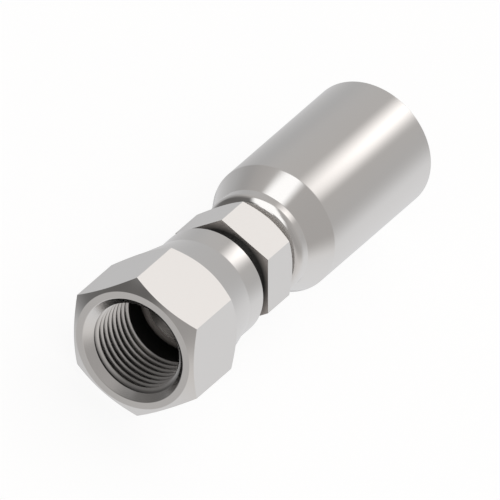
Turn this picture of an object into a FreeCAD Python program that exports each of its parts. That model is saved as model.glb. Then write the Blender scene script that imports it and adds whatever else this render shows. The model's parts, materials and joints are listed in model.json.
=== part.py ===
import FreeCAD, Part
import math
import os
import Sketcher
from types import SimpleNamespace

# Straight crimp hose fitting for a hose of about 10 mm bore. It lies on its side as it
# comes to rest: the axis runs along X, the mouth of the swivel nut faces -X, the ferrule
# opens towards +X and both hexagons have a flat underneath. The origin is on the axis,
# where the first full turn of the nut's thread begins. Lengths in mm, angles in degrees.
doc = FreeCAD.newDocument("crimp_hose_fitting")
sheet = doc.addObject("Spreadsheet::Sheet", "sizes")


class Size:
    """A size that carries its number and the formula that a sketch or feature is bound to."""

    def __init__(self, number, formula):
        self.number = number
        self.formula = formula

    def __add__(self, other):
        return Size(self.number + other.number, f"({self.formula} + {other.formula})")

    def __sub__(self, other):
        return Size(self.number - other.number, f"({self.formula} - {other.formula})")

    def __mul__(self, other):
        return Size(self.number * other.number, f"({self.formula} * {other.formula})")

    def __truediv__(self, other):
        return Size(self.number / other.number, f"({self.formula} / {other.formula})")


def slope(angle):
    """Rise over run of a line at this angle."""
    return Size(math.tan(math.radians(angle.number)), f"tan({angle.formula} * 1 deg)")


def half(width):
    """Radius of a diameter, or distance from the axis to a flat of a hexagon."""
    return width / Size(2.0, "2")


def corner_radius(across_flats):
    """Radius of the circle through the corners of a hexagon."""
    return across_flats / Size(math.sqrt(3.0), "sqrt(3)")


HEXAGON_SIDES = 6
FULL_TURN = 360.0
ON_AXIS = Size(0.0, "0")
THREAD_START = Size(0.0, "0")

# The ring that mills a hexagon reaches this much further out than the hexagon's corners
CUTTER_REACH = Size(1.2, "1.2")

# Driving sizes, each written once
SIZES = {
    # Swivel nut, outside
    "nut_across_flats": 22.0,
    "nut_length": 25.0,
    "nut_face_diameter": 20.8,
    "nut_front_bevel_angle": 31.0,
    "nut_hex_length": 12.3,
    "nut_back_bevel_angle": 46.0,
    "nut_skirt_wall": 2.0,
    "nut_skirt_length": 4.3,
    # Swivel nut, inside
    "first_turn_depth": 1.6,
    "countersink_diameter": 18.4,
    "countersink_angle": 45.0,
    "thread_bore_diameter": 15.0,
    "thread_length": 10.4,
    "thread_runout_length": 0.5,
    # Head of the stem, which turns inside the nut
    "nose_depth": 13.55,
    "head_diameter": 17.2,
    "head_length": 3.35,
    "head_corner_round": 2.3,
    "seat_land_width": 0.25,
    "seat_angle": 37.0,
    "shoulder_angle": 45.0,
    "head_shoulder_width": 1.1,
    "journal_length": 1.9,
    "neck_undercut_depth": 1.4,
    "neck_gap": 3.35,
    # Clearances between nut and stem
    "swivel_clearance": 0.08,
    "head_clearance": 0.3,
    "nut_float": 0.2,
    # Wrench hexagon of the stem and the collar behind it
    "stem_across_flats": 17.0,
    "stem_hex_length": 6.75,
    "stem_back_bevel_angle": 37.0,
    "collar_diameter": 14.4,
    "lip_gap": 1.4,
    # Ferrule, outside
    "ferrule_diameter": 22.5,
    "ferrule_length": 38.0,
    "lip_wall": 1.775,
    "lip_length": 2.65,
    "lip_round": 1.45,
    "ferrule_cone_length": 4.75,
    # Staked joint between ferrule and stem
    "lock_setback": 0.6,
    "lock_groove_width": 2.2,
    "lock_groove_depth": 1.0,
    "stake_clearance": 0.05,
    "stop_height": 0.6,
    "stop_width": 1.4,
    # Hose space of the ferrule
    "ferrule_wall": 2.5,
    "stop_clearance": 0.9,
    "ferrule_taper_length": 5.2,
    "mouth_bevel_width": 0.9,
    "tooth_groove_depth": 0.6,
    "tooth_groove_width": 2.5,
    "tooth_flank_length": 0.5,
    "tooth_pitch": 3.8,
    "tooth_groove_count": 7,
    "tooth_start": 1.3,
    # Barbed tail of the stem
    "tail_diameter": 10.0,
    "tail_setback": 2.5,
    "flow_bore_diameter": 7.4,
    "tail_lead_length": 1.6,
    "tail_lead_depth": 0.55,
    "barb_depth": 0.45,
    "barb_length": 2.7,
    "barb_pitch": 3.3,
    "barb_count": 8,
    "barb_start": 2.4,
}
for row, (name, number) in enumerate(SIZES.items(), start=1):
    sheet.set(f"A{row}", name)
    sheet.set(f"B{row}", f"{number}")
    sheet.setAlias(f"B{row}", name)
doc.recompute()
size = SimpleNamespace(**{name: Size(number, f"sizes.{name}") for name, number in SIZES.items()})

# Stations along the axis
nut_face = THREAD_START - size.first_turn_depth
nut_flat_radius = half(size.nut_across_flats)
nut_corner_radius = corner_radius(size.nut_across_flats)
nut_front_bevel = (nut_corner_radius - half(size.nut_face_diameter)) * slope(size.nut_front_bevel_angle)
nut_back_bevel = (nut_corner_radius - nut_flat_radius) * slope(size.nut_back_bevel_angle)
nut_front_corner = nut_face + nut_front_bevel
nut_back_corner = nut_face + size.nut_hex_length
nut_taper_start = nut_back_corner + nut_back_bevel
nut_back = nut_face + size.nut_length
nut_skirt_start = nut_back - size.nut_skirt_length
countersink_radius = half(size.countersink_diameter)
thread_bore_radius = half(size.thread_bore_diameter)
countersink_end = nut_face + (countersink_radius - thread_bore_radius) / slope(size.countersink_angle)
thread_end = THREAD_START + size.thread_length

head_radius = half(size.head_diameter)
journal_radius = head_radius - size.head_shoulder_width
neck_radius = journal_radius - size.neck_undercut_depth
relief_radius = head_radius + size.head_clearance
skirt_bore_radius = journal_radius + size.swivel_clearance
nut_skirt_radius = skirt_bore_radius + size.nut_skirt_wall
head_back = size.nose_depth + size.head_length
journal_start = head_back + size.head_shoulder_width * slope(size.shoulder_angle)
neck_start = journal_start + size.journal_length
nut_shoulder_end = journal_start - size.swivel_clearance * slope(size.shoulder_angle) + size.nut_float
nut_shoulder_start = nut_shoulder_end - (relief_radius - skirt_bore_radius) * slope(size.shoulder_angle)

land_radius = head_radius - size.head_corner_round
seat_radius = land_radius - size.seat_land_width
flow_bore_radius = half(size.flow_bore_diameter)
seat_end = size.nose_depth + (seat_radius - flow_bore_radius) / slope(size.seat_angle)

stem_flat_radius = half(size.stem_across_flats)
stem_corner_radius = corner_radius(size.stem_across_flats)
stem_hex_front = nut_back + size.neck_gap
stem_back_corner = stem_hex_front + size.stem_hex_length
stem_back_bevel = (stem_corner_radius - stem_flat_radius) * slope(size.stem_back_bevel_angle)
stem_hex_back = stem_back_corner + stem_back_bevel

lip_front = stem_hex_back + size.lip_gap
lip_back = lip_front + size.lip_length
ferrule_shoulder = lip_back + size.ferrule_cone_length
ferrule_end = lip_front + size.ferrule_length
lock_front = lip_front + size.lock_setback
lock_back = lock_front + size.lock_groove_width
stop_back = lock_back + size.stop_width
stake_front = lock_front + size.stake_clearance
stake_back = lock_back - size.stake_clearance
collar_radius = half(size.collar_diameter)
lock_radius = collar_radius - size.lock_groove_depth
stop_radius = lock_radius + size.stop_height
stake_radius = lock_radius + size.stake_clearance
lip_bore_radius = collar_radius + size.stake_clearance
lip_radius = lip_bore_radius + size.lip_wall
ferrule_bore_radius = half(size.ferrule_diameter) - size.ferrule_wall
ferrule_bore_start = lock_back + size.ferrule_taper_length
tooth_first = ferrule_bore_start + size.tooth_start
tail_end = ferrule_end - size.tail_setback
barb_first = stop_back + size.barb_start


def origin_plane(body, role):
    """One of the body's own origin planes, found by its role."""
    return [plane for plane in body.Origin.OriginFeatures if plane.Role == role][0]


def new_body(name):
    """An empty body that will become one piece of the fitting."""
    body = doc.addObject("PartDesign::Body", name)
    body.Label = name
    return body


def new_sketch(body, name, role):
    """A sketch that lies on one of the body's origin planes."""
    sketch = body.newObject("Sketcher::SketchObject", name)
    sketch.AttachmentSupport = [(origin_plane(body, role), "")]
    sketch.MapMode = "FlatFace"
    return sketch


def arc_between(start, end, radius, centre_side):
    """Arc between two points, with its centre left (1) or right (-1) of the way from start to end."""
    chord = end - start
    across = FreeCAD.Vector(-chord.y, chord.x, 0).normalize() * centre_side
    centre = (start + end) / 2 + across * math.sqrt(radius ** 2 - (chord.Length / 2) ** 2)
    first, last = (start, end) if centre_side > 0 else (end, start)
    angles = [math.atan2(point.y - centre.y, point.x - centre.x) for point in (first, last)]
    circle = Part.Circle(centre, FreeCAD.Vector(0, 0, 1), radius)
    return Part.ArcOfCircle(circle, angles[0], angles[1])


def fix_point(sketch, label, edge, end, corner):
    """Tie one end of an edge to its station along the axis and its radius."""
    for kind, axis, value in (("DistanceX", -2, corner[0]), ("DistanceY", -1, corner[1])):
        if value.formula == "0":
            sketch.addConstraint(Sketcher.Constraint("PointOnObject", edge, end, axis))
            continue
        name = f"{label}_{'station' if kind == 'DistanceX' else 'radius'}"
        index = sketch.addConstraint(Sketcher.Constraint(kind, -1, 1, edge, end, value.number))
        sketch.renameConstraint(index, name)
        sketch.setExpression(f"Constraints.{name}", value.formula)


def turned_outline(body, name, corners, rounds):
    """Closed outline beside the axis. A corner is (label, station, radius). Where rounds names a
    corner, an arc of (radius, centre side) leads from it to the next one, and elsewhere a line."""
    sketch = new_sketch(body, name, "XZ_Plane")
    points = [FreeCAD.Vector(station.number, radius.number, 0) for label, station, radius in corners]
    ends = []
    for index, (label, station, radius) in enumerate(corners):
        start = points[index]
        end = points[(index + 1) % len(points)]
        if label in rounds:
            fillet, side = rounds[label]
            edge = sketch.addGeometry(arc_between(start, end, fillet.number, side), False)
            bound = sketch.addConstraint(Sketcher.Constraint("Radius", edge, fillet.number))
            sketch.renameConstraint(bound, f"{label}_round")
            sketch.setExpression(f"Constraints.{label}_round", fillet.formula)
            ends.append((edge, 1, 2) if side > 0 else (edge, 2, 1))
        else:
            edge = sketch.addGeometry(Part.LineSegment(start, end), False)
            ends.append((edge, 1, 2))
    for index, (edge, first, last) in enumerate(ends):
        next_edge, next_first, next_last = ends[(index + 1) % len(ends)]
        sketch.addConstraint(Sketcher.Constraint("Coincident", edge, last, next_edge, next_first))
    for (edge, first, last), (label, station, radius) in zip(ends, corners):
        fix_point(sketch, label, edge, first, (station, radius))
    return sketch


def turn(body, kind, name, corners, rounds=None):
    """Turn an outline about the axis, to add material (Revolution) or to cut it away (Groove)."""
    sketch = turned_outline(body, f"{name}_outline", corners, rounds or {})
    feature = body.newObject(f"PartDesign::{kind}", name)
    feature.Profile = sketch
    feature.ReferenceAxis = (sketch, ["H_Axis"])
    feature.Angle = FULL_TURN
    doc.recompute()
    return feature


def mill_hexagon(body, name, across_flats, front, back):
    """Mill six flats on a round blank between two stations, with a flat underneath."""
    sketch = new_sketch(body, f"{name}_outline", "YZ_Plane")
    sketch.setExpression("AttachmentOffset.Base.z", back.formula)
    reach = corner_radius(across_flats) * CUTTER_REACH
    centre = FreeCAD.Vector()
    normal = FreeCAD.Vector(0, 0, 1)
    outer = sketch.addGeometry(Part.Circle(centre, normal, reach.number), False)
    sketch.addConstraint(Sketcher.Constraint("Coincident", outer, 3, -1, 1))
    index = sketch.addConstraint(Sketcher.Constraint("Radius", outer, reach.number))
    sketch.renameConstraint(index, "cutter_reach")
    sketch.setExpression("Constraints.cutter_reach", reach.formula)
    radius = corner_radius(across_flats).number
    points = []
    for step in range(HEXAGON_SIDES):
        angle = math.radians(FULL_TURN / HEXAGON_SIDES * step)
        points.append(FreeCAD.Vector(radius * math.cos(angle), radius * math.sin(angle), 0))
    sides = []
    for step in range(HEXAGON_SIDES):
        side = Part.LineSegment(points[step], points[(step + 1) % HEXAGON_SIDES])
        sides.append(sketch.addGeometry(side, False))
    guide = sketch.addGeometry(Part.Circle(centre, normal, radius), True)
    sketch.addConstraint(Sketcher.Constraint("Coincident", guide, 3, -1, 1))
    for step, side in enumerate(sides):
        next_side = sides[(step + 1) % HEXAGON_SIDES]
        sketch.addConstraint(Sketcher.Constraint("Coincident", side, 2, next_side, 1))
        sketch.addConstraint(Sketcher.Constraint("PointOnObject", side, 1, guide))
        if step:
            sketch.addConstraint(Sketcher.Constraint("Equal", sides[0], side))
    top = sides[1]
    sketch.addConstraint(Sketcher.Constraint("Horizontal", top))
    height = half(across_flats)
    index = sketch.addConstraint(Sketcher.Constraint("DistanceY", -1, 1, top, 1, height.number))
    sketch.renameConstraint(index, "half_across_flats")
    sketch.setExpression("Constraints.half_across_flats", height.formula)
    pocket = body.newObject("PartDesign::Pocket", name)
    pocket.Profile = sketch
    pocket.setExpression("Length", (back - front).formula)
    doc.recompute()
    return pocket


def repeat_along_axis(body, name, feature, pitch, count):
    """Repeat a cut along the axis, towards the ferrule's open end."""
    pattern = body.newObject("PartDesign::LinearPattern", name)
    pattern.Originals = [feature]
    pattern.Direction = (origin_plane(body, "X_Axis"), [""])
    pattern.Mode = "Spacing"
    pattern.setExpression("Offset", pitch.formula)
    pattern.setExpression("Occurrences", count.formula)
    body.Tip = pattern
    doc.recompute()
    return pattern


def swivel_nut():
    """Hexagon nut with a swaged skirt that holds the head of the stem and turns freely on it."""
    body = new_body("swivel_nut")
    turn(body, "Revolution", "nut_blank", [
        ("face_centre", nut_face, ON_AXIS),
        ("face_edge", nut_face, half(size.nut_face_diameter)),
        ("front_corner", nut_front_corner, nut_corner_radius),
        ("back_corner", nut_back_corner, nut_corner_radius),
        ("taper_start", nut_taper_start, nut_flat_radius),
        ("skirt_start", nut_skirt_start, nut_skirt_radius),
        ("skirt_end", nut_back, nut_skirt_radius),
        ("back_centre", nut_back, ON_AXIS),
    ])
    mill_hexagon(body, "nut_hexagon", size.nut_across_flats, nut_face, nut_taper_start)
    turn(body, "Groove", "nut_bore", [
        ("mouth_centre", nut_face, ON_AXIS),
        ("mouth_edge", nut_face, countersink_radius),
        ("countersink_end", countersink_end, thread_bore_radius),
        ("thread_end", thread_end, thread_bore_radius),
        ("relief_start", thread_end + size.thread_runout_length, relief_radius),
        ("shoulder_start", nut_shoulder_start, relief_radius),
        ("shoulder_end", nut_shoulder_end, skirt_bore_radius),
        ("skirt_edge", nut_back, skirt_bore_radius),
        ("skirt_centre", nut_back, ON_AXIS),
    ])
    return body


def hose_stem():
    """One turned piece: head and journal in the nut, neck, wrench hexagon, collar and barbed tail."""
    body = new_body("hose_stem")
    turn(body, "Revolution", "stem_blank", [
        ("nose_centre", size.nose_depth, ON_AXIS),
        ("land_edge", size.nose_depth, land_radius),
        ("head_side", size.nose_depth + size.head_corner_round, head_radius),
        ("head_back", head_back, head_radius),
        ("journal_start", journal_start, journal_radius),
        ("journal_end", neck_start, journal_radius),
        ("neck_start", neck_start, neck_radius),
        ("neck_end", stem_hex_front, neck_radius),
        ("hex_front", stem_hex_front, stem_corner_radius),
        ("hex_back_corner", stem_back_corner, stem_corner_radius),
        ("hex_back", stem_hex_back, stem_flat_radius),
        ("collar_front", stem_hex_back, collar_radius),
        ("collar_back", lock_front, collar_radius),
        ("lock_front", lock_front, lock_radius),
        ("lock_back", lock_back, lock_radius),
        ("stop_front", lock_back, stop_radius),
        ("stop_back", stop_back, stop_radius),
        ("tail_start", stop_back, half(size.tail_diameter)),
        ("lead_start", tail_end - size.tail_lead_length, half(size.tail_diameter)),
        ("lead_end", tail_end, half(size.tail_diameter) - size.tail_lead_depth),
        ("tail_centre", tail_end, ON_AXIS),
    ], {"land_edge": (size.head_corner_round, -1)})
    mill_hexagon(body, "stem_hexagon", size.stem_across_flats, stem_hex_front, stem_hex_back)
    turn(body, "Groove", "flow_bore", [
        ("seat_centre", size.nose_depth, ON_AXIS),
        ("seat_edge", size.nose_depth, seat_radius),
        ("bore_start", seat_end, flow_bore_radius),
        ("bore_end", tail_end, flow_bore_radius),
        ("bore_centre", tail_end, ON_AXIS),
    ])
    barb = turn(body, "Groove", "barb", [
        ("barb_crest", barb_first, half(size.tail_diameter)),
        ("barb_foot", barb_first, half(size.tail_diameter) - size.barb_depth),
        ("barb_rise", barb_first + size.barb_length, half(size.tail_diameter)),
    ])
    repeat_along_axis(body, "barbs", barb, size.barb_pitch, size.barb_count)
    return body


def crimp_ferrule():
    """Shell staked into the stem's groove at its front, with a toothed bore for the hose behind."""
    body = new_body("crimp_ferrule")
    turn(body, "Revolution", "ferrule_shell", [
        ("mouth_front", lip_front, lip_bore_radius),
        ("lip_face", lip_front, lip_radius - size.lip_round),
        ("lip_side", lip_front + size.lip_round, lip_radius),
        ("cone_start", lip_back, lip_radius),
        ("cone_end", ferrule_shoulder, half(size.ferrule_diameter)),
        ("end_edge", ferrule_end, half(size.ferrule_diameter)),
        ("end_bevel", ferrule_end, ferrule_bore_radius + size.mouth_bevel_width),
        ("bore_end", ferrule_end - size.mouth_bevel_width, ferrule_bore_radius),
        ("bore_start", ferrule_bore_start, ferrule_bore_radius),
        ("back_wall", stake_back, stop_radius + size.stop_clearance),
        ("stake_back", stake_back, stake_radius),
        ("stake_front", stake_front, stake_radius),
        ("stake_root", stake_front, lip_bore_radius),
    ], {"lip_face": (size.lip_round, -1)})
    root = ferrule_bore_radius + size.tooth_groove_depth
    tooth = turn(body, "Groove", "tooth_groove", [
        ("groove_front", tooth_first, ferrule_bore_radius),
        ("groove_floor", tooth_first + size.tooth_flank_length, root),
        ("floor_end", tooth_first + size.tooth_groove_width - size.tooth_flank_length, root),
        ("groove_back", tooth_first + size.tooth_groove_width, ferrule_bore_radius),
    ])
    repeat_along_axis(body, "tooth_grooves", tooth, size.tooth_pitch, size.tooth_groove_count)
    return body


pieces = [swivel_nut(), hose_stem(), crimp_ferrule()]
doc.recompute()

for item in doc.Objects:
    faults = [state for state in item.State if state in ("Invalid", "Error")]
    if faults:
        raise RuntimeError(f"{item.Label} was not built: {faults}")
for piece in pieces:
    if piece.Shape.isNull() or not piece.Shape.isValid() or len(piece.Shape.Solids) != 1:
        raise RuntimeError(f"{piece.Label} is not one valid solid")

os.makedirs("parts", exist_ok=True)
for piece in pieces:
    piece.Shape.exportStep(f"parts/{piece.Label}.step")
    box = piece.Shape.optimalBoundingBox()
    print(f"{piece.Label}: volume {piece.Shape.Volume:.1f} mm3, X {box.XMin:.3f} to {box.XMax:.3f}, "
          f"Z {box.ZMin:.3f} to {box.ZMax:.3f}")
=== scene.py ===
import json
import math

import bmesh
import bpy
from bpy.props import FloatProperty, FloatVectorProperty, IntProperty, PointerProperty
from mathutils import Matrix, Vector


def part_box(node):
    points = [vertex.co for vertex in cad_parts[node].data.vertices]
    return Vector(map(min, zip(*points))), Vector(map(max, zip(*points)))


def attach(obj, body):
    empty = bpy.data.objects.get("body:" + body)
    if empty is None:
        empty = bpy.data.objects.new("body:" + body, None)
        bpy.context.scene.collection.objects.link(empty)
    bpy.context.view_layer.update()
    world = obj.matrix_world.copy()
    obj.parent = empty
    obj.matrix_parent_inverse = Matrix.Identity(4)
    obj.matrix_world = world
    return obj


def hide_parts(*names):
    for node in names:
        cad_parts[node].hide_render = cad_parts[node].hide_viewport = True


bl_info = {
    "name": "Crimp hose fitting",
    "version": (1, 0, 0),
    "blender": (4, 5, 0),
    "location": "View3D > Sidebar > Fitting",
    "description": "Builds a swivel nut, a hose stem and a crimp ferrule in plated steel, with their stage",
    "category": "Add Mesh",
}

# The axis of the fitting runs along X from the nut's mouth to the ferrule's open end. The origin is on
# the axis, where the first full turn of the nut's thread begins. Lengths are in metres.
MM = 0.001
AXIS = Vector((1.0, 0.0, 0.0))
HEXAGON_SIDES = 6
FULL_TURN = 2.0 * math.pi
MERGE_DISTANCE = 0.0002 * MM
SHARP_ANGLE = math.radians(9.0)
MILL_SLACK = 0.001 * MM

# Steps in a full turn of each piece.
NUT_STEPS = 240
STEM_STEPS = 192
FERRULE_STEPS = 256
THREAD_STEPS = 120

# A rounded corner has the larger number of segments from this width on.
FULL_ROUNDING = 0.3 * MM
BREAK_SEGMENTS = 2
ROUND_SEGMENTS = 10

# The slant of a face is the part of its normal that points along the axis.
SLANT_SLACK = 0.03
FRONT_SLANT = -0.9
BEVEL_SLANT = 0.2

# Slot of the drawn plating in the lists of the two pieces that have a hexagon.
DRAWN = 1

# Share of the drawn lines' pattern that is left along the axis.
DRAWN_STRETCH = 0.03

# A light card is seen only from directions with a larger cosine to its middle.
EDGE_ON = 0.01

# Directions from the fitting to the camera and to the right of the image, both of length one.
VIEW_BACK = Vector((-0.75, -0.125, math.sqrt(27.0) / 8.0)).normalized()
VIEW_RIGHT = Vector((0.5, -0.75, math.sqrt(3.0) / 4.0)).normalized()

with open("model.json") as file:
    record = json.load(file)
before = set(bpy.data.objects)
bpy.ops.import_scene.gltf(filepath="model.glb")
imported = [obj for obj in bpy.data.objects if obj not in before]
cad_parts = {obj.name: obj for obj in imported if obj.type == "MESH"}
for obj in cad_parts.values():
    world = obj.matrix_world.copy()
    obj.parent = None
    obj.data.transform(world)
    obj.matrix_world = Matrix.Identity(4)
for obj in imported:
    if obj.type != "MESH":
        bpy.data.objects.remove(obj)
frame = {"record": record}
NUT_LOW, NUT_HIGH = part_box("swivel_nut")
STEM_LOW, STEM_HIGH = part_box("hose_stem")
FERRULE_LOW, FERRULE_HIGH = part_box("crimp_ferrule")
MOUNTS = {mount["name"]: mount for mount in frame["record"]["mounts"]}
THREAD_DIMS = MOUNTS["swivel_thread"]["dims"]
FLOW_DIMS = MOUNTS["flow_bore"]["dims"]


def length(name, description, default):
    """A length that the user can set, given in millimetres."""
    return FloatProperty(
        name=name, description=description, default=default * MM, unit="LENGTH", precision=5)


def angle(name, description, default):
    """An angle that the user can set, given in degrees."""
    return FloatProperty(
        name=name, description=description, default=math.radians(default), unit="ROTATION")


def number(name, description, default):
    """A plain number that the user can set."""
    return FloatProperty(name=name, description=description, default=default)


def tint(name, description, default, most=1.0):
    """A colour that the user can set."""
    return FloatVectorProperty(
        name=name, description=description, default=default, subtype="COLOR", size=3, min=0.0, max=most)


def vector(name, description, default, subtype="XYZ"):
    """A direction or a place that the user can set."""
    return FloatVectorProperty(
        name=name, description=description, default=default, subtype=subtype, size=3)


class FittingNut(bpy.types.PropertyGroup):
    """Sizes of the swivel nut"""

    across_flats: length("Across flats", "Width of the hexagon over two flats", 2 * NUT_HIGH.z / MM)
    face_radius: length("Face radius", "Radius where the front face meets its bevel", 10.4)
    front_bevel: angle("Front bevel", "Angle of the front bevel from the front face", 31.0)
    hexagon_length: length("Hexagon length", "From the front face to the back corners", 12.3)
    back_bevel: angle("Back bevel", "Angle of the back bevel from a plane across the axis", 46.0)
    skirt_radius: length("Skirt radius", "Outside radius of the swaged skirt", 9.58)
    skirt_length: length("Skirt length", "Length of the plain skirt at the back", 4.3)
    skirt_blend: length("Skirt blend", "Width of the rounding between the taper and the skirt", 0.2)
    skirt_bore: length("Skirt bore", "Radius of the bore that turns on the stem's journal", 7.58)
    countersink_radius: length("Countersink radius", "Radius of the mouth at the front face", 9.2)
    countersink_angle: angle("Countersink angle", "Angle of the mouth's cone from the axis", 45.0)
    thread_radius: length("Thread radius", "Radius over the crests of the thread", THREAD_DIMS["r_mm"])
    thread_length: length("Thread length", "Length of the threaded bore", THREAD_DIMS["length_mm"])
    thread_pitch: length("Thread pitch", "Advance of the thread in one turn", 1.337)
    thread_depth: length("Thread depth", "Depth of the groove below the crests", 0.83)
    groove_width: length("Groove width", "Width of the groove at the crests", 1.13)
    root_width: length("Root width", "Width of the groove at its root", 0.27)
    thread_lead_in: length(
        "Thread lead-in", "Distance from the cutter's first turn to the first full turn", 2.144)
    cutter_reach: length("Cutter reach", "Height of the cutter inside the crests of the thread", 0.1)
    overrun: number("Overrun", "Turns that the cutter makes past the thread", 1.0)
    runout: length("Runout", "Length of the cone behind the last turn", 0.5)
    relief_radius: length("Relief radius", "Radius of the room around the stem's head", 8.9)
    shoulder_start: length("Shoulder start", "Place where the nut's inner shoulder starts", 16.8)
    shoulder_end: length("Shoulder end", "Place where the nut's inner shoulder ends", 18.12)
    edge_break: length("Edge break", "Width of the broken edges", 0.06)


class FittingStem(bpy.types.PropertyGroup):
    """Sizes of the hose stem"""

    across_flats: length("Across flats", "Width of the wrench hexagon over two flats", 17.0)
    hexagon_front: length("Hexagon front", "Place of the hexagon's front face", 26.75)
    hexagon_length: length("Hexagon length", "From the front face to the back corners", 6.75)
    back_bevel: angle("Back bevel", "Angle of the back bevel from a plane across the axis", 37.0)
    head_radius: length("Head radius", "Radius of the head inside the nut", 8.6)
    head_length: length("Head length", "Length of the head with its rounded corner", 3.35)
    head_round: length("Head round", "Radius of the head's front corner", 2.3)
    land_width: length("Land width", "Width of the flat ring around the seat", 0.25)
    seat_angle: angle("Seat angle", "Angle of the conical seat from the axis", 37.0)
    journal_radius: length(
        "Journal radius", "Radius of the journal behind the head, which the nut turns on", 7.5)
    journal_length: length("Journal length", "Length of the journal", 1.9)
    neck_radius: length(
        "Neck radius", "Radius of the neck between the journal and the wrench hexagon", 6.1)
    neck_round: length(
        "Neck round", "Width of the rounding at the neck's and the collar's corners", 0.25)
    collar_radius: length("Collar radius", "Radius of the collar behind the hexagon", 7.2)
    lock_front: length("Lock front", "Place where the locking groove starts", 36.491)
    lock_back: length("Lock back", "Place where the locking groove ends", 38.691)
    lock_radius: length("Lock radius", "Radius of the locking groove's floor", 6.2)
    stop_back: length("Stop back", "Place where the stop flange ends", 40.091)
    stop_radius: length("Stop radius", "Radius of the stop flange", 6.8)
    tail_radius: length("Tail radius", "Radius of the barbed tail", 5.0)
    bore_radius: length("Bore radius", "Radius of the flow bore", FLOW_DIMS["r_mm"])
    lead_length: length("Lead length", "Length of the cone at the tail's end", 1.6)
    lead_depth: length("Lead depth", "Depth of the cone at the tail's end", 0.55)
    barb_first: length("First barb", "Place of the first barb's step", 42.491)
    barb_length: length("Barb length", "Length of one barb's slope", 2.7)
    barb_depth: length("Barb depth", "Height of one barb's step", 0.45)
    barb_pitch: length("Barb pitch", "Distance from barb to barb", 3.3)
    barb_count: IntProperty(name="Barbs", description="Number of barbs on the tail", default=8)
    edge_break: length("Edge break", "Width of the broken edges", 0.06)

    @property
    def seat_radius(self):
        """Radius where the conical seat meets the flat ring around it"""
        return self.head_radius - self.head_round - self.land_width

    @property
    def head_back(self):
        """Place of the head's back edge"""
        return STEM_LOW.x + self.head_length

    @property
    def journal_back(self):
        """Place where the journal ends, with the cone that leads down to it from the head"""
        return self.head_back + self.head_radius - self.journal_radius + self.journal_length


class FittingFerrule(bpy.types.PropertyGroup):
    """Sizes of the crimp ferrule"""

    outside_radius: length("Outside radius", "Radius of the long cylinder", FERRULE_HIGH.z / MM)
    lip_radius: length("Lip radius", "Radius of the lip at the front", 9.025)
    lip_length: length("Lip length", "Length of the lip", 2.65)
    lip_round: length("Lip round", "Radius of the lip's front corner", 1.45)
    lip_blend: length("Lip blend", "Width of the rounding between the lip and the cone", 0.12)
    cone_length: length("Cone length", "Length of the cone behind the lip", 4.75)
    shoulder_round: length("Shoulder round", "Width of the rounding between cone and cylinder", 0.16)
    lip_bore: length("Lip bore", "Radius of the hole around the stem's collar", 7.25)
    stake_front: length("Stake front", "Place where the staked wall starts", 36.541)
    stake_back: length("Stake back", "Place where the staked wall ends", 38.641)
    stake_radius: length("Stake radius", "Radius of the staked wall's hole", 6.25)
    back_wall: length("Back wall", "Radius where the inner cone starts", 7.7)
    bore_start: length("Bore start", "Place where the bore for the hose starts", 43.891)
    bore_radius: length("Bore radius", "Radius of the bore for the hose", 8.75)
    mouth_bevel: length("Mouth bevel", "Width of the bevel at the open end", 0.9)
    tooth_first: length("First tooth", "Place of the first tooth groove", 45.191)
    tooth_width: length("Tooth groove width", "Width of one tooth groove", 2.5)
    tooth_flank: length("Tooth flank", "Length of one tooth's flank along the axis", 0.5)
    tooth_depth: length("Tooth groove depth", "Depth of one tooth groove", 0.6)
    tooth_pitch: length("Tooth pitch", "Distance from tooth to tooth", 3.8)
    tooth_count: IntProperty(name="Tooth grooves", description="Number of tooth grooves", default=7)
    edge_break: length("Edge break", "Width of the broken edges", 0.08)


class FittingFinish(bpy.types.PropertyGroup):
    """Colours and finish of the plated steel, with the shade painted into its recesses"""

    plating: tint("Plating", "Colour of the bright plating", (0.80, 0.785, 0.77))
    roughness: number("Roughness", "Roughness of the bright plating", 0.10)
    cloud_size: length("Cloud size", "Size of the plating's clouds", 6.25)
    cloud_spread: number("Cloud spread", "Share by which the roughness goes up and down", 0.15)
    cloud_tone: number("Cloud tone", "Brightness of the plating in its darker clouds", 0.985)
    # Painted shade: the recess settings below darken the base colour into the nut's relief, the thread's
    # grooves, the stem's head, its journal and the wrench hexagon's front, where shade falls. The recess
    # roughness and metal also make the plating dull there.
    recess_plating: tint(
        "Recess plating", "Colour of the plating at the mouth of a recess", (0.88, 0.82, 0.78))
    recess_shade_tone: number("Recess tone", "Brightness left deep in a recess", 0.06)
    recess_roughness: number("Recess roughness", "Roughness in a recess", 0.4)
    recess_metal: number("Recess metal", "Share of bare metal in a recess", 0.1)
    thread_bright: length(
        "Thread bright radius", "Radius in the grooves where the plating starts to dull", 7.75)
    thread_dark: length("Thread dark radius", "Radius in the grooves where the plating is dullest", 8.38)
    thread_open: length("Thread open", "Place where the first groove is as bright as its crests", -0.5)
    thread_shut: length("Thread shut", "Place from where the grooves are dull", 0.15)
    thread_roughness: number("Thread roughness", "Roughness in the grooves", 0.25)
    head_bright: length(
        "Head bright radius", "Radius on the stem's head where the plating starts to dull", 6.8)
    head_dark: length("Head dark radius", "Radius on the stem's head where the plating is dullest", 8.4)
    mouth_roughness: number("Mouth roughness", "Roughness of the mouth's cone", 0.2)
    gap_bright: length(
        "Gap bright radius", "Radius on the wrench hexagon's front where it is brightest", 9.4)
    gap_dark: length("Gap dark radius", "Radius on the wrench hexagon's front where it is dullest", 7.8)
    ring_spacing: length("Ring spacing", "Distance between the marks that turning leaves", 0.09)
    ring_depth: length("Ring depth", "Depth of the marks that turning leaves", 0.0006)
    grain_size: length("Grain size", "Size of the plating's fine grain", 0.35)


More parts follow.
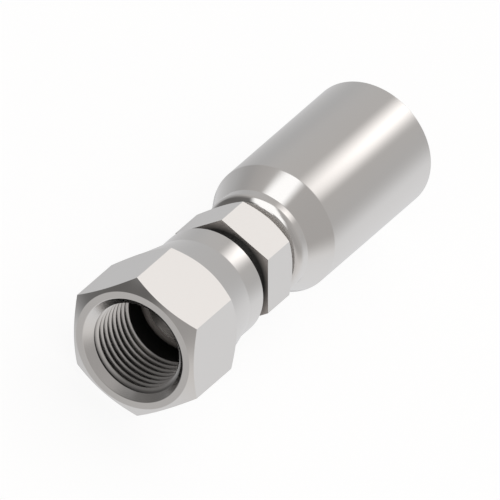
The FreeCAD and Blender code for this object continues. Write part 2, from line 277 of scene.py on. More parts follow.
class FittingStage(bpy.types.PropertyGroup):
    """Camera and floor"""

    image_size: number("Image size", "Width and height of the image in pixels", 500.0)
    pixels_per_mm: number("Scale", "Pixels for each millimetre of the fitting", 6.2856)
    anchor_x: number("Anchor x", "Pixel column of the nut's front corner plane", 137.05)
    anchor_y: number("Anchor y", "Pixel row of the nut's front corner plane", 346.67)
    anchor_station: length("Anchor", "Place of the nut's front corner plane on the axis", -0.2)
    clip_near: length("Nearest", "Distance from the camera where things begin to show", 10.0)
    clip_far: length("Farthest", "Distance from the camera where things cease to show", 5000.0)
    camera_distance: length("Camera distance", "Distance of the camera from the fitting", 400.0)
    floor_size: length("Floor size", "Width of the floor", 3000.0)
    floor_tone: number("Floor tone", "Share of the light that the floor sends back", 0.3)
    floor_lift: number("Floor lift", "Light added so that the lit floor is white", 0.86)


class FittingStudio(bpy.types.PropertyGroup):
    """Light cards and tones around the fitting, placed by the direction in which they are seen"""

    floor_level: number("Floor level", "Brightness below the horizon", 0.544)
    floor_slope: vector(
        "Floor slope", "Change of the brightness below the horizon along each axis",
        (0.09, -0.18, -0.145))
    wall_level: number("Wall level", "Brightness above the horizon", 0.442)
    wall_slope: vector(
        "Wall slope", "Change of the brightness above the horizon along each axis", (0.085, 0.02, 0.005))
    horizon: number("Horizon", "Height where floor and walls blend", 0.065)
    horizon_blend: number("Horizon blend", "Half the height of that blend", 0.28)
    key_place: vector(
        "Key place", "Middle of the large light card above the fitting",
        (0.0217, 0.0233, 0.046), "TRANSLATION")
    key_azimuth: angle("Key azimuth", "Direction of the large card's back around the vertical", 158.4)
    key_elevation: angle("Key elevation", "Direction of the large card's back above the horizon", 54.6)
    key_roll: angle("Key roll", "Turn of the large light card in its own plane", -45.4)
    key_width: length("Key width", "Width of the large light card", 86.7)
    key_height: length("Key height", "Height of the large light card", 55.4)
    key_softness: length("Key softness", "Width of the large card's fading edge", 16.2)
    key_level: number("Key level", "Brightness of the large light card", 1.26)
    strip_azimuth: angle("Strip azimuth", "Direction of the small light card around the vertical", -3.8)
    strip_elevation: angle(
        "Strip elevation", "Direction of the small light card above the horizon", 42.2)
    strip_roll: angle("Strip roll", "Turn of the small light card in its own plane", -5.3)
    strip_width: angle("Strip width", "Width of the small light card as seen from the fitting", 20.5)
    strip_height: angle("Strip height", "Height of the small light card as seen from the fitting", 13.5)
    strip_softness: number("Strip softness", "Width of the small card's fading edge", 0.4)
    strip_level: number("Strip level", "Brightness of the small light card", 1.65)
    flag_azimuth: angle("Flag azimuth", "Direction of the dark flag around the vertical", 126.5)
    flag_elevation: angle("Flag elevation", "Direction of the dark flag above the horizon", -1.4)
    flag_core: angle("Flag core", "Angle from the flag's middle to where it starts to fade", 31.5)
    flag_edge: angle("Flag edge", "Angle from the flag's middle to where it ends", 63.1)
    flag_depth: number("Flag depth", "Share of the light that the flag takes away", 0.626)
    warm_azimuth: angle("Warm azimuth", "Direction of the warm light around the vertical", 180.0)
    warm_elevation: angle("Warm elevation", "Direction of the warm light above the horizon", 53.0)
    warm_reach: number("Warm reach", "Cosine from the warm direction where the light is fully warm", 0.1)
    cool_reach: number(
        "Cool reach", "Cosine from the warm direction where the light is fully cool", -0.5)
    warm_tint: tint(
        "Warm tint", "Tint of the light above and ahead of the nut", (1.03, 1.0, 0.98), most=2.0)
    cool_tint: tint(
        "Cool tint", "Tint of the light below and behind the ferrule", (1.0, 1.0, 1.01), most=2.0)


def outline(bm, corners):
    """Closed outline beside the axis, from (place along the axis, radius, rounding) corners."""
    points = [bm.verts.new((place, 0.0, radius)) for place, radius, rounding in corners]
    for first, second in zip(points, points[1:] + points[:1]):
        bm.edges.new((first, second))
    for point, (place, radius, rounding) in zip(points, corners):
        if rounding:
            segments = BREAK_SEGMENTS if rounding < FULL_ROUNDING else ROUND_SEGMENTS
            bmesh.ops.bevel(
                bm, geom=[point], offset=rounding, offset_type="OFFSET", segments=segments,
                profile=0.5, affect="VERTICES", material=-1)


def turn(bm, steps):
    """Turn the outline about the axis into a closed shell."""
    bmesh.ops.spin(
        bm, geom=bm.verts[:] + bm.edges[:], cent=(0, 0, 0), axis=AXIS, dvec=(0, 0, 0),
        angle=FULL_TURN, steps=steps, use_merge=True, use_duplicate=False)
    bmesh.ops.remove_doubles(bm, verts=bm.verts[:], dist=MERGE_DISTANCE)
    bmesh.ops.recalc_face_normals(bm, faces=bm.faces[:])


def mill_hexagon(bm, front, back, half_width):
    """Mill six flats on the turned blank between two places, with one flat on top."""
    for side in range(HEXAGON_SIDES):
        turned = FULL_TURN * side / HEXAGON_SIDES
        outward = Vector((0.0, math.sin(turned), math.cos(turned)))
        faces = [
            face for face in bm.faces
            if front - MILL_SLACK < face.calc_center_median().x < back + MILL_SLACK]
        parts = dict.fromkeys(part for face in faces for part in (face, *face.edges, *face.verts))
        bmesh.ops.bisect_plane(
            bm, geom=list(parts), dist=MERGE_DISTANCE, plane_co=outward * half_width,
            plane_no=outward, clear_outer=True)
        rim = [edge for edge in bm.edges if edge.is_boundary]
        for face in bmesh.ops.holes_fill(bm, edges=rim, sides=0)["faces"]:
            face.material_index = DRAWN
    bmesh.ops.recalc_face_normals(bm, faces=bm.faces[:])


def add_object(bm, name):
    """Put the finished bmesh into the scene as an object."""
    mesh = bpy.data.meshes.new(name)
    bm.to_mesh(mesh)
    bm.free()
    made = bpy.data.objects.new(name, mesh)
    bpy.context.scene.collection.objects.link(made)
    return made


def shade(mesh):
    """Shade the mesh smooth, apart from the edges where its faces meet at an angle."""
    mesh.shade_smooth()
    mesh.set_sharp_from_angle(angle=SHARP_ANGLE)


def make_piece(name, bm, body, finishes):
    """Turn the finished bmesh into a piece that rides on its body and stands for its solid."""
    piece = add_object(bm, name)
    for finish in finishes:
        piece.data.materials.append(bpy.data.materials[finish])
    shade(piece.data)
    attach(piece, body)
    return piece


def finish_faces(mesh, rules):
    """Give each face the finish of the last rule that picks it by place, radius and slant."""
    for face in mesh.polygons:
        radius = math.hypot(face.center.y, face.center.z)
        for finish, picks in rules:
            if picks(face.center.x, radius, face.normal.x):
                face.material_index = mesh.materials.find(finish)


def thread_cutter(nut):
    """A helical cutter for the right-hand thread, from before the mouth into the relief."""
    start = -nut.thread_lead_in
    turns = math.ceil((nut.thread_length - start) / nut.thread_pitch) + nut.overrun
    clear = nut.thread_radius - nut.cutter_reach
    root = nut.thread_radius + nut.thread_depth
    flare = (nut.groove_width - nut.root_width) / 2 / nut.thread_depth
    wide = nut.groove_width / 2 + flare * (nut.thread_radius - clear)
    narrow = nut.root_width / 2
    bm = bmesh.new()
    section = ((-wide, clear), (-narrow, root), (narrow, root), (wide, clear))
    bm.faces.new([bm.verts.new((start + offset, 0.0, radius)) for offset, radius in section])
    bmesh.ops.spin(
        bm, geom=bm.faces[:] + bm.edges[:] + bm.verts[:], cent=(0, 0, 0), axis=AXIS,
        dvec=AXIS * (nut.thread_pitch / THREAD_STEPS), angle=FULL_TURN * turns,
        steps=round(turns * THREAD_STEPS), use_merge=False, use_duplicate=False)
    bmesh.ops.recalc_face_normals(bm, faces=bm.faces[:])
    return add_object(bm, "thread_cutter")


def cut_thread(piece, cutter):
    """Cut the thread into the bore and leave neither the modifier nor the cutter behind."""
    cut = piece.modifiers.new("thread", "BOOLEAN")
    cut.object = cutter
    cut.operation = "DIFFERENCE"
    cut.solver = "EXACT"
    bpy.context.view_layer.update()
    done = bpy.data.meshes.new_from_object(piece.evaluated_get(bpy.context.evaluated_depsgraph_get()))
    piece.modifiers.clear()
    spent = (piece.data, cutter.data)
    piece.data = done
    done.name = piece.name
    bpy.data.objects.remove(cutter)
    for mesh in spent:
        bpy.data.meshes.remove(mesh)


def hexagon_corner(half_width):
    """Radius over the corners of a hexagon."""
    return half_width / math.cos(math.pi / HEXAGON_SIDES)


def nut_outline(bm, nut):
    """Outline of the nut's blank. It gives the ends of the hexagon and half its width."""
    half_width = nut.across_flats / 2
    corner = hexagon_corner(half_width)
    face = NUT_LOW.x
    back = NUT_HIGH.x
    front_corner = face + (corner - nut.face_radius) * math.tan(nut.front_bevel)
    back_corner = face + nut.hexagon_length
    taper_start = back_corner + (corner - half_width) * math.tan(nut.back_bevel)
    countersink_depth = (nut.countersink_radius - nut.thread_radius) / math.tan(nut.countersink_angle)
    edge = nut.edge_break
    outline(bm, [
        (face, nut.countersink_radius, edge),
        (face, nut.face_radius, 0),
        (front_corner, corner, 0),
        (back_corner, corner, 0),
        (taper_start, half_width, 0),
        (back - nut.skirt_length, nut.skirt_radius, nut.skirt_blend),
        (back, nut.skirt_radius, edge),
        (back, nut.skirt_bore, edge),
        (nut.shoulder_end, nut.skirt_bore, 0),
        (nut.shoulder_start, nut.relief_radius, 0),
        (nut.thread_length + nut.runout, nut.relief_radius, 0),
        (nut.thread_length, nut.thread_radius, 0),
        (face + countersink_depth, nut.thread_radius, 0),
    ])
    return face, taper_start, half_width


def stem_outline(bm, stem):
    """Outline of the stem's blank. It gives the ends of the hexagon and half its width."""
    half_width = stem.across_flats / 2
    corner = hexagon_corner(half_width)
    nose = STEM_LOW.x
    end = STEM_HIGH.x
    seat_end = nose + (stem.seat_radius - stem.bore_radius) / math.tan(stem.seat_angle)
    journal_start = stem.head_back + stem.head_radius - stem.journal_radius
    back_corner = stem.hexagon_front + stem.hexagon_length
    hexagon_back = back_corner + (corner - half_width) * math.tan(stem.back_bevel)
    edge = stem.edge_break
    corners = [
        (seat_end, stem.bore_radius, 0),
        (nose, stem.seat_radius, 0),
        (nose, stem.head_radius, stem.head_round),
        (stem.head_back, stem.head_radius, edge),
        (journal_start, stem.journal_radius, 0),
        (stem.journal_back, stem.journal_radius, edge),
        (stem.journal_back, stem.neck_radius, stem.neck_round),
        (stem.hexagon_front, stem.neck_radius, stem.neck_round),
        (stem.hexagon_front, corner, 0),
        (back_corner, corner, 0),
        (hexagon_back, half_width, 0),
        (hexagon_back, stem.collar_radius, stem.neck_round),
        (stem.lock_front, stem.collar_radius, edge),
        (stem.lock_front, stem.lock_radius, 0),
        (stem.lock_back, stem.lock_radius, 0),
        (stem.lock_back, stem.stop_radius, edge),
        (stem.stop_back, stem.stop_radius, edge),
        (stem.stop_back, stem.tail_radius, 0),
    ]
    for barb in range(stem.barb_count):
        step = stem.barb_first + barb * stem.barb_pitch
        corners += [
            (step, stem.tail_radius, 0),
            (step, stem.tail_radius - stem.barb_depth, 0),
            (step + stem.barb_length, stem.tail_radius, 0),
        ]
    corners += [
        (end - stem.lead_length, stem.tail_radius, 0),
        (end, stem.tail_radius - stem.lead_depth, edge),
        (end, stem.bore_radius, edge),
    ]
    outline(bm, corners)
    return stem.hexagon_front, hexagon_back, half_width


def ferrule_outline(bm, ferrule):
    """Outline of the ferrule: lip, cone, cylinder, toothed bore and the wall staked on the stem."""
    front = FERRULE_LOW.x
    end = FERRULE_HIGH.x
    lip_back = front + ferrule.lip_length
    edge = ferrule.edge_break
    bore = ferrule.bore_radius
    root = bore + ferrule.tooth_depth
    corners = [
        (front, ferrule.lip_bore, edge),
        (front, ferrule.lip_radius, ferrule.lip_round),
        (lip_back, ferrule.lip_radius, ferrule.lip_blend),
        (lip_back + ferrule.cone_length, ferrule.outside_radius, ferrule.shoulder_round),
        (end, ferrule.outside_radius, edge),
        (end, bore + ferrule.mouth_bevel, edge),
        (end - ferrule.mouth_bevel, bore, edge),
    ]
    for tooth in reversed(range(ferrule.tooth_count)):
        groove = ferrule.tooth_first + tooth * ferrule.tooth_pitch
        corners += [
            (groove + ferrule.tooth_width, bore, 0),
            (groove + ferrule.tooth_width - ferrule.tooth_flank, root, 0),
            (groove + ferrule.tooth_flank, root, 0),
            (groove, bore, 0),
        ]
    corners += [
        (ferrule.bore_start, bore, 0),
        (ferrule.stake_back, ferrule.back_wall, 0),
        (ferrule.stake_back, ferrule.stake_radius, 0),
        (ferrule.stake_front, ferrule.stake_radius, 0),
        (ferrule.stake_front, ferrule.lip_bore, 0),
    ]
    outline(bm, corners)


def add_node(tree, kind, inputs=None, **settings):
    """A shader node of a kind. Each input is linked to a socket or set to a plain value."""
    node = tree.nodes.new(kind)
    for name, value in settings.items():
        setattr(node, name, value)
    for name, value in (inputs or {}).items():
        if isinstance(value, bpy.types.NodeSocket):
            tree.links.new(value, node.inputs[name])
        else:
            node.inputs[name].default_value = value
    return node


def calculate(tree, operation, *values):
    """Result of a Math node."""
    return add_node(tree, "ShaderNodeMath", dict(enumerate(values)), operation=operation).outputs[0]


def dot_product(tree, first, second):
    """Dot product of two vectors."""
    node = add_node(tree, "ShaderNodeVectorMath", {0: first, 1: second}, operation="DOT_PRODUCT")
    return node.outputs["Value"]


def map_range(tree, value, low, high, bottom=0.0, top=1.0, interpolation="LINEAR"):
    """A value taken from the range low to high to the range bottom to top, and held there."""
    return add_node(
        tree, "ShaderNodeMapRange",
        {"Value": value, "From Min": low, "From Max": high, "To Min": bottom, "To Max": top},
        interpolation_type=interpolation).outputs["Result"]


def mix_numbers(tree, factor, first, second):
    """Blend of two numbers by a mask."""
    return add_node(tree, "ShaderNodeMix", {"Factor": factor, "A": first, "B": second}).outputs["Result"]


def mix_colours(tree, factor, first, second):
    """Blend of two colours by a mask."""
    return add_node(
        tree, "ShaderNodeMix", {"Factor": factor, "A": (*first, 1.0), "B": (*second, 1.0)},
        data_type="RGBA").outputs["Result"]


def add_noise(tree, place, scale, detail=2.0, roughness=0.5, dimensions="3D"):
    """Mask of noise over a place."""
    return add_node(
        tree, "ShaderNodeTexNoise",
        {"Vector": place, "Scale": scale, "Detail": detail, "Roughness": roughness},
        noise_dimensions=dimensions).outputs["Fac"]


def object_place(tree):
    """Object coordinates. In the world they are the direction of sight."""
    return add_node(tree, "ShaderNodeTexCoord").outputs["Object"]


def split(tree, place):
    """The three parts of a place, by the names of their axes."""
    return add_node(tree, "ShaderNodeSeparateXYZ", {"Vector": place}).outputs


def radius_of(tree, place):
    """Distance of a place from the fitting's axis."""
    beside = add_node(tree, "ShaderNodeVectorMath", {0: place, 1: (0.0, 1.0, 1.0)}, operation="MULTIPLY")
    radius = add_node(tree, "ShaderNodeVectorMath", {0: beside.outputs["Vector"]}, operation="LENGTH")
    return radius.outputs["Value"]


def new_group(name, inputs, outputs):
    """A node group with inputs of a name and a default and with float outputs.

    It gives the tree, the sockets of the inputs and the node that takes the outputs.
    """
    tree = bpy.data.node_groups.new(name, "ShaderNodeTree")
    for label, default in inputs.items():
        kind = "NodeSocketVector" if isinstance(default, tuple) else "NodeSocketFloat"
        socket = tree.interface.new_socket(name=label, in_out="INPUT", socket_type=kind)
        socket.default_value = default
    for label in outputs:
        tree.interface.new_socket(name=label, in_out="OUTPUT", socket_type="NodeSocketFloat")
    return tree, tree.nodes.new("NodeGroupInput").outputs, tree.nodes.new("NodeGroupOutput")


def group_node(tree, group_name, inputs):
    """A node that places a shader group."""
    return add_node(tree, "ShaderNodeGroup", inputs, node_tree=bpy.data.node_groups[group_name])


def new_material(name):
    """A material with an empty node tree."""
    material = bpy.data.materials.new(name)
    material.use_nodes = True
    material.node_tree.nodes.clear()
    return material


def add_steel(tree, inputs):
    """The surface of a plated material."""
    steel = add_node(tree, "ShaderNodeBsdfPrincipled", inputs)
    add_node(tree, "ShaderNodeOutputMaterial", {"Surface": steel.outputs["BSDF"]})


def plating_grain_group():
    """Fine grain and cloudiness of the plating: one mask for height and one for roughness."""
    tree, given, out = new_group(
        "plating_grain", {"Grain Scale": 3000.0, "Cloud Scale": 160.0}, ("Height", "Cloud"))
    place = object_place(tree)
    grain = add_noise(tree, place, given["Grain Scale"], detail=3.0, roughness=0.6)
    tree.links.new(grain, out.inputs["Height"])
    tree.links.new(add_noise(tree, place, given["Cloud Scale"]), out.inputs["Cloud"])


def turning_marks_group():
    """Fine rings that a lathe leaves, on cylinders, cones and faces across the axis alike."""
    tree, given, out = new_group("turning_marks", {"Mark Scale": 11000.0}, ("Height",))
    place = object_place(tree)
    rings = add_node(
        tree, "ShaderNodeCombineXYZ", {"X": split(tree, place)["X"], "Y": radius_of(tree, place)})
    marks = add_noise(tree, rings.outputs["Vector"], given["Mark Scale"], dimensions="2D")
    tree.links.new(marks, out.inputs["Height"])


def drawn_lines_group():
    """Fine lines along the axis that drawing leaves on the flats of a hexagon bar."""
    tree, given, out = new_group("drawn_lines", {"Mark Scale": 9000.0}, ("Height",))
    stretch = add_node(
        tree, "ShaderNodeMapping", {"Vector": object_place(tree), "Scale": (DRAWN_STRETCH, 1.0, 1.0)})
    marks = add_noise(tree, stretch.outputs["Vector"], given["Mark Scale"])
    tree.links.new(marks, out.inputs["Height"])


def shaded(colour, tone):
    """The three channels of a colour at a share of its brightness."""
    return [channel * tone for channel in colour]


def bright_plating(name, marks, finish, roughness):
    """Bright plating over turned or drawn steel: marks, grain and a cloudy roughness."""
    tree = new_material(name).node_tree
    grain = group_node(tree, "plating_grain", {
        "Grain Scale": 1.0 / finish.grain_size, "Cloud Scale": 1.0 / finish.cloud_size})
    lines = group_node(tree, marks, {"Mark Scale": 1.0 / finish.ring_spacing})
    bumps = {"Strength": 1.0, "Distance": finish.ring_depth}
    marked = add_node(tree, "ShaderNodeBump", {**bumps, "Height": lines.outputs["Height"]})
    grained = add_node(tree, "ShaderNodeBump", {
        **bumps, "Height": grain.outputs["Height"], "Normal": marked.outputs["Normal"]})
    cloud = grain.outputs["Cloud"]
    spread = roughness * finish.cloud_spread
    add_steel(tree, {
        "Base Color": mix_colours(tree, cloud, shaded(finish.plating, finish.cloud_tone), finish.plating),
        "Metallic": 1.0,
        "Roughness": map_range(tree, cloud, 0.0, 1.0, roughness - spread, roughness + spread),
        "Normal": grained.outputs["Normal"],
    })


def dull_plating(name, finish, colour):
    """Thin dull plating of one colour. Darkened to the recess tone, deep in a recess, its colour is painted
    shade.
    """
    add_steel(new_material(name).node_tree, {
        "Base Color": (*colour, 1.0),
        "Metallic": finish.recess_metal,
        "Roughness": finish.recess_roughness,
    })


def plating_fading_to_painted_shade(name, finish, bright_radius, dark_radius, colour, metal, roughness, mouth=None):
    """Plating whose base colour fades from a colour at one radius to painted shade, the recess tone, at the
    other.

    With a mouth, given as an open and a shut place on the axis, it keeps its colour at the open one.
    """
    tree = new_material(name).node_tree
    place = object_place(tree)
    unshaded_share = map_range(tree, radius_of(tree, place), dark_radius, bright_radius)
    if mouth:
        opened, shut = mouth
        unshaded_share = calculate(tree, "MAXIMUM", unshaded_share, map_range(tree, split(tree, place)["X"], shut, opened))
    # Painted shade: the base colour darkens towards the dark radius, where the recess is deepest.
    add_steel(tree, {
        "Base Color": mix_colours(tree, unshaded_share, shaded(finish.plating, finish.recess_shade_tone), colour),
        "Metallic": metal,
        "Roughness": roughness,
    })


def make_finishes(finish):
    """The node groups and the plated finishes that the pieces share."""
    if "turned_plating" in bpy.data.materials:
        return
    plating_grain_group()
    turning_marks_group()
    drawn_lines_group()
    bright_plating("turned_plating", "turning_marks", finish, finish.roughness)
    bright_plating("drawn_plating", "drawn_lines", finish, finish.roughness)
    bright_plating("mouth_plating", "turning_marks", finish, finish.mouth_roughness)
    # Painted shade: the nut's relief and the stem's journal get plating darkened to the recess tone, a dark
    # dull sheet where there is only shade.
    dull_plating("recess_painted_shade", finish, shaded(finish.plating, finish.recess_shade_tone))
    dull_plating("bevel_plating", finish, finish.plating)
    # The head, the gap and the thread's grooves fade into painted shade towards the inside of their recess.
    dull = (finish.recess_plating, finish.recess_metal, finish.recess_roughness)
    plating_fading_to_painted_shade("head_painted_shade", finish, finish.head_bright, finish.head_dark, *dull)
    plating_fading_to_painted_shade("gap_painted_shade", finish, finish.gap_bright, finish.gap_dark, *dull)
    plating_fading_to_painted_shade(
        "thread_painted_shade", finish, finish.thread_bright, finish.thread_dark, finish.plating,
        metal=1.0, roughness=finish.thread_roughness, mouth=(finish.thread_open, finish.thread_shut))


def finish_nut(mesh, nut):
    """Give the relief and the thread's grooves dull plating with painted shade, and roughen the cone of the
    mouth.
    """
    near = nut.edge_break
    end = nut.thread_length
    root = nut.thread_radius + nut.thread_depth + near
    cone_slant = -math.sin(nut.countersink_angle)
    finish_faces(mesh, (
        # The relief and the thread's grooves get painted shade: base colour darkened towards their inside.
        ("recess_painted_shade", lambda place, radius, slant: (
            end < place < NUT_HIGH.x - near and radius < nut.relief_radius + near)),
        ("thread_painted_shade", lambda place, radius, slant: (
            NUT_LOW.x + near < place < end and radius < root
            and abs(slant - cone_slant) > SLANT_SLACK)),
        ("mouth_plating", lambda place, radius, slant: (
            place < nut.thread_pitch and radius < nut.countersink_radius
            and abs(slant - cone_slant) < SLANT_SLACK)),
    ))


def finish_stem(mesh, stem):
    """Give the head, the journal and the wrench hexagon's front dull plating with painted shade, dull the
    hexagon's back bevel, and roughen the seat.
    """
    near = stem.edge_break
    bore = stem.bore_radius + near
    finish_faces(mesh, (
        # The head, the journal and the hexagon's front get painted shade: base colour darkened where shade
        # falls.
        ("head_painted_shade", lambda place, radius, slant: (
            place < stem.head_back and radius > stem.seat_radius)),
        ("mouth_plating", lambda place, radius, slant: (
            place < stem.head_back and bore < radius < stem.seat_radius)),
        ("recess_painted_shade", lambda place, radius, slant: (
            stem.head_back - near < place < stem.journal_back and radius > bore)),
        ("gap_painted_shade", lambda place, radius, slant: (
            abs(place - stem.hexagon_front) < near and slant < FRONT_SLANT)),
        ("bevel_plating", lambda place, radius, slant: (
            stem.hexagon_front < place < FERRULE_LOW.x + near and slant > BEVEL_SLANT)),
    ))


class FITTING_OT_swivel_nut(bpy.types.Operator):
    """Turn the nut's blank, mill its hexagon and cut its thread"""

    bl_idname = "fitting.swivel_nut"
    bl_label = "Swivel nut"

    def execute(self, context):
        nut = context.scene.fitting_nut
        make_finishes(context.scene.fitting_finish)
        bm = bmesh.new()
        front, back, half_width = nut_outline(bm, nut)
        turn(bm, NUT_STEPS)
        mill_hexagon(bm, front, back, half_width)
        piece = make_piece("swivel_nut_threaded", bm, "nut", (
            "turned_plating", "drawn_plating", "recess_painted_shade", "thread_painted_shade", "mouth_plating"))
        cut_thread(piece, thread_cutter(nut))
        finish_nut(piece.data, nut)
        shade(piece.data)
        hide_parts("swivel_nut")
        return {"FINISHED"}


class FITTING_OT_hose_stem(bpy.types.Operator):
    """Turn the stem with its barbed tail and mill its wrench hexagon"""

    bl_idname = "fitting.hose_stem"
    bl_label = "Hose stem"

    def execute(self, context):
        stem = context.scene.fitting_stem
        make_finishes(context.scene.fitting_finish)
        bm = bmesh.new()
        front, back, half_width = stem_outline(bm, stem)
        turn(bm, STEM_STEPS)
        mill_hexagon(bm, front, back, half_width)
        piece = make_piece("hose_stem_turned", bm, "hose_end", (
            "turned_plating", "drawn_plating", "recess_painted_shade", "head_painted_shade", "gap_painted_shade",
            "bevel_plating", "mouth_plating"))
        finish_stem(piece.data, stem)
        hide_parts("hose_stem")
        return {"FINISHED"}


class FITTING_OT_crimp_ferrule(bpy.types.Operator):
    """Turn the ferrule with its lip, cone and toothed bore"""

    bl_idname = "fitting.crimp_ferrule"
    bl_label = "Crimp ferrule"

    def execute(self, context):
        make_finishes(context.scene.fitting_finish)
        bm = bmesh.new()
        ferrule_outline(bm, context.scene.fitting_ferrule)
        turn(bm, FERRULE_STEPS)
        piece = make_piece(
            "crimp_ferrule_turned", bm, "hose_end", ("turned_plating",))
        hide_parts("crimp_ferrule")
        return {"FINISHED"}


def add_floor(stage, low_z):
    """A white floor that the fitting lies on. It keeps the shadow, and the metal mirrors the studio."""
    bm = bmesh.new()
    bmesh.ops.create_grid(bm, x_segments=1, y_segments=1, size=stage.floor_size / 2)
    bmesh.ops.translate(bm, verts=bm.verts[:], vec=(0.0, 0.0, low_z))
    floor = add_object(bm, "floor")
    material = new_material("floor_white")
    tree = material.node_tree
    tone = stage.floor_tone
    paint = add_node(tree, "ShaderNodeBsdfDiffuse", {"Color": (tone, tone, tone, 1.0)})
    seen = add_node(tree, "ShaderNodeLightPath").outputs["Is Camera Ray"]
    strength = calculate(tree, "MULTIPLY", seen, stage.floor_lift)
    lift = add_node(tree, "ShaderNodeEmission", {"Strength": strength})
    both = add_node(tree, "ShaderNodeAddShader", {0: paint.outputs["BSDF"], 1: lift.outputs["Emission"]})
    add_node(tree, "ShaderNodeOutputMaterial", {"Surface": both.outputs["Shader"]})
    floor.data.materials.append(material)
    floor.visible_glossy = False


def facing(azimuth, elevation):
    """Unit vector towards an azimuth around Z from X and an elevation above the horizon."""
    level = math.cos(elevation)
    return Vector((level * math.cos(azimuth), level * math.sin(azimuth), math.sin(elevation)))


def card_axes(azimuth, elevation, roll):
    """The two edge directions and the facing direction of a card turned by roll in its own plane."""
    middle = facing(azimuth, elevation)
    level = Vector((-math.sin(azimuth), math.cos(azimuth), 0.0))
    upright = middle.cross(level)
    across = level * math.cos(roll) + upright * math.sin(roll)
    return across, middle.cross(across), middle


def add_key_card(studio):
    """A large soft light card above the fitting, which only the metal mirrors."""
    soft = studio.key_softness
    bm = bmesh.new()
    bmesh.ops.create_grid(bm, x_segments=1, y_segments=1, size=0.5)
    bmesh.ops.scale(
        bm, vec=(studio.key_width + soft, studio.key_height + soft, 1.0), verts=bm.verts[:])
    card = add_object(bm, "key_card")
    axes = Matrix(card_axes(studio.key_azimuth, studio.key_elevation, studio.key_roll)).transposed()
    card.matrix_world = Matrix.Translation(studio.key_place) @ axes.to_4x4()
    card.visible_camera = False
    card.visible_diffuse = False
    card.visible_shadow = False
    material = new_material("key_card")
    tree = material.node_tree
    place = split(tree, object_place(tree))
    masks = []
    for side, width in (("X", studio.key_width), ("Y", studio.key_height)):
        distance = calculate(tree, "ABSOLUTE", place[side])
        masks.append(map_range(
            tree, distance, (width - soft) / 2, (width + soft) / 2, 1.0, 0.0, "SMOOTHSTEP"))
    clear = add_node(tree, "ShaderNodeBsdfTransparent")
    glow = add_node(tree, "ShaderNodeEmission", {"Strength": studio.key_level})
    blend = add_node(tree, "ShaderNodeMixShader", {
        "Fac": calculate(tree, "MULTIPLY", *masks), 1: clear.outputs["BSDF"], 2: glow.outputs["Emission"]})
    add_node(tree, "ShaderNodeOutputMaterial", {"Surface": blend.outputs["Shader"]})
    card.data.materials.append(material)


def light_card_group():
    """Mask of a soft-edged rectangle, seen from the origin in the direction of its middle."""
    tree, given, out = new_group(
        "light_card",
        {"Direction": (0.0, 0.0, 1.0), "Middle": (0.0, 0.0, 1.0), "Across": (1.0, 0.0, 0.0),
         "Along": (0.0, 1.0, 0.0), "Half Width": 0.5, "Half Height": 0.5, "Softness": 0.2},
        ("Mask",))
    ahead = dot_product(tree, given["Direction"], given["Middle"])
    distance = calculate(tree, "MAXIMUM", ahead, EDGE_ON)
    mask = calculate(tree, "GREATER_THAN", ahead, EDGE_ON)
    low = calculate(tree, "MULTIPLY", given["Softness"], -0.5)
    high = calculate(tree, "MULTIPLY", given["Softness"], 0.5)
    for side, half in (("Across", "Half Width"), ("Along", "Half Height")):
        reach = calculate(tree, "ABSOLUTE", dot_product(tree, given["Direction"], given[side]))
        inside = calculate(tree, "SUBTRACT", given[half], calculate(tree, "DIVIDE", reach, distance))
        fade = map_range(tree, inside, low, high, interpolation="SMOOTHSTEP")
        mask = calculate(tree, "MULTIPLY", mask, fade)
    tree.links.new(mask, out.inputs["Mask"])


def sloped_tone_group():
    """A level that changes evenly along a slope in the direction's three axes."""
    tree, given, out = new_group(
        "sloped_tone", {"Direction": (0.0, 0.0, 1.0), "Slope": (0.0, 0.0, 0.0), "Level": 0.5}, ("Tone",))
    rise = dot_product(tree, given["Direction"], given["Slope"])
    tree.links.new(calculate(tree, "ADD", rise, given["Level"]), out.inputs["Tone"])


def studio_light(tree, direction, studio):
    """Brightness of the studio in a direction: floor and wall tones, a dark flag and a light card."""
    tones = [
        group_node(tree, "sloped_tone", {"Direction": direction, "Level": level, "Slope": slope})
        for level, slope in (
            (studio.floor_level, studio.floor_slope), (studio.wall_level, studio.wall_slope))]
    horizon = map_range(
        tree, split(tree, direction)["Z"], studio.horizon - studio.horizon_blend,
        studio.horizon + studio.horizon_blend, interpolation="SMOOTHSTEP")
    light = mix_numbers(tree, horizon, *[tone.outputs["Tone"] for tone in tones])
    away = dot_product(tree, direction, facing(studio.flag_azimuth, studio.flag_elevation))
    flag = map_range(
        tree, calculate(tree, "ARCCOSINE", away), studio.flag_core, studio.flag_edge,
        1.0 - studio.flag_depth, 1.0, "SMOOTHSTEP")
    across, along, middle = card_axes(studio.strip_azimuth, studio.strip_elevation, studio.strip_roll)
    strip = group_node(tree, "light_card", {
        "Direction": direction, "Middle": middle, "Across": across, "Along": along,
        "Half Width": math.tan(studio.strip_width / 2),
        "Half Height": math.tan(studio.strip_height / 2),
        "Softness": studio.strip_softness})
    shaded_light = calculate(tree, "MULTIPLY", light, flag)
    return mix_numbers(tree, strip.outputs["Mask"], shaded_light, studio.strip_level)


def add_world(studio):
    """A pale studio that the metal mirrors. The camera sees white beyond the floor."""
    light_card_group()
    sloped_tone_group()
    world = bpy.data.worlds.new("studio")
    world.use_nodes = True
    bpy.context.scene.world = world
    tree = world.node_tree
    tree.nodes.clear()
    direction = object_place(tree)
    towards = dot_product(tree, direction, facing(studio.warm_azimuth, studio.warm_elevation))
    warmth = map_range(tree, towards, studio.cool_reach, studio.warm_reach)
    around = add_node(tree, "ShaderNodeBackground", {
        "Color": mix_colours(tree, warmth, studio.cool_tint, studio.warm_tint),
        "Strength": studio_light(tree, direction, studio)})
    white = add_node(tree, "ShaderNodeBackground", {"Color": (1.0, 1.0, 1.0, 1.0)})
    seen = add_node(tree, "ShaderNodeLightPath").outputs["Is Camera Ray"]
    shown = add_node(tree, "ShaderNodeMixShader", {
        "Fac": seen, 1: around.outputs["Background"], 2: white.outputs["Background"]})
    add_node(tree, "ShaderNodeOutputWorld", {"Surface": shown.outputs["Shader"]})


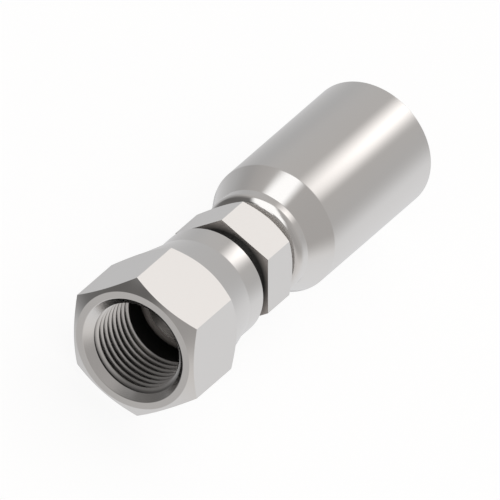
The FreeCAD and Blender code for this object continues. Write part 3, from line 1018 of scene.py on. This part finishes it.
def add_camera(stage):
    """A camera with no perspective, above the fitting and ahead of the nut, as in the photograph."""
    up = VIEW_BACK.cross(VIEW_RIGHT)
    half = stage.image_size / 2
    pixel = MM / stage.pixels_per_mm
    anchor = AXIS * stage.anchor_station
    right_of_anchor = VIEW_RIGHT * (half - stage.anchor_x) * pixel
    centre = anchor + right_of_anchor + up * (stage.anchor_y - half) * pixel
    data = bpy.data.cameras.new("camera")
    data.type = "ORTHO"
    data.ortho_scale = stage.image_size * pixel
    data.clip_start = stage.clip_near
    data.clip_end = stage.clip_far
    camera = bpy.data.objects.new("camera", data)
    axes = Matrix((VIEW_RIGHT, up, VIEW_BACK)).transposed()
    camera.matrix_world = Matrix.Translation(centre + VIEW_BACK * stage.camera_distance) @ axes.to_4x4()
    bpy.context.scene.collection.objects.link(camera)
    bpy.context.scene.camera = camera


class FITTING_OT_stage(bpy.types.Operator):
    """Add the floor, the lights and the camera"""

    bl_idname = "fitting.stage"
    bl_label = "Stage"

    def execute(self, context):
        stage = context.scene.fitting_stage
        studio = context.scene.fitting_studio
        add_floor(stage, FERRULE_LOW.z)
        add_key_card(studio)
        add_world(studio)
        add_camera(stage)
        context.scene.view_settings.view_transform = "Standard"
        return {"FINISHED"}


class FITTING_PT_pieces(bpy.types.Panel):
    """The pieces of the fitting and its stage"""

    bl_idname = "FITTING_PT_pieces"
    bl_label = "Crimp hose fitting"
    bl_space_type = "VIEW_3D"
    bl_region_type = "UI"
    bl_category = "Fitting"

    def draw(self, context):
        for operator in OPERATORS:
            self.layout.operator(operator.bl_idname)


SETTINGS = {
    "fitting_nut": FittingNut,
    "fitting_stem": FittingStem,
    "fitting_ferrule": FittingFerrule,
    "fitting_finish": FittingFinish,
    "fitting_stage": FittingStage,
    "fitting_studio": FittingStudio,
}
OPERATORS = (FITTING_OT_swivel_nut, FITTING_OT_hose_stem, FITTING_OT_crimp_ferrule, FITTING_OT_stage)


def register():
    for name, group in SETTINGS.items():
        bpy.utils.register_class(group)
        setattr(bpy.types.Scene, name, PointerProperty(type=group))
    for made in OPERATORS + (FITTING_PT_pieces,):
        bpy.utils.register_class(made)


def unregister():
    for made in (FITTING_PT_pieces,) + OPERATORS:
        bpy.utils.unregister_class(made)
    for name, group in SETTINGS.items():
        delattr(bpy.types.Scene, name)
        bpy.utils.unregister_class(group)


def main():
    """Build every piece and the stage."""
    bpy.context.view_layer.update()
    register()
    bpy.ops.fitting.swivel_nut()
    bpy.ops.fitting.hose_stem()
    bpy.ops.fitting.crimp_ferrule()
    bpy.ops.fitting.stage()


if __name__ == "__main__":
    main()
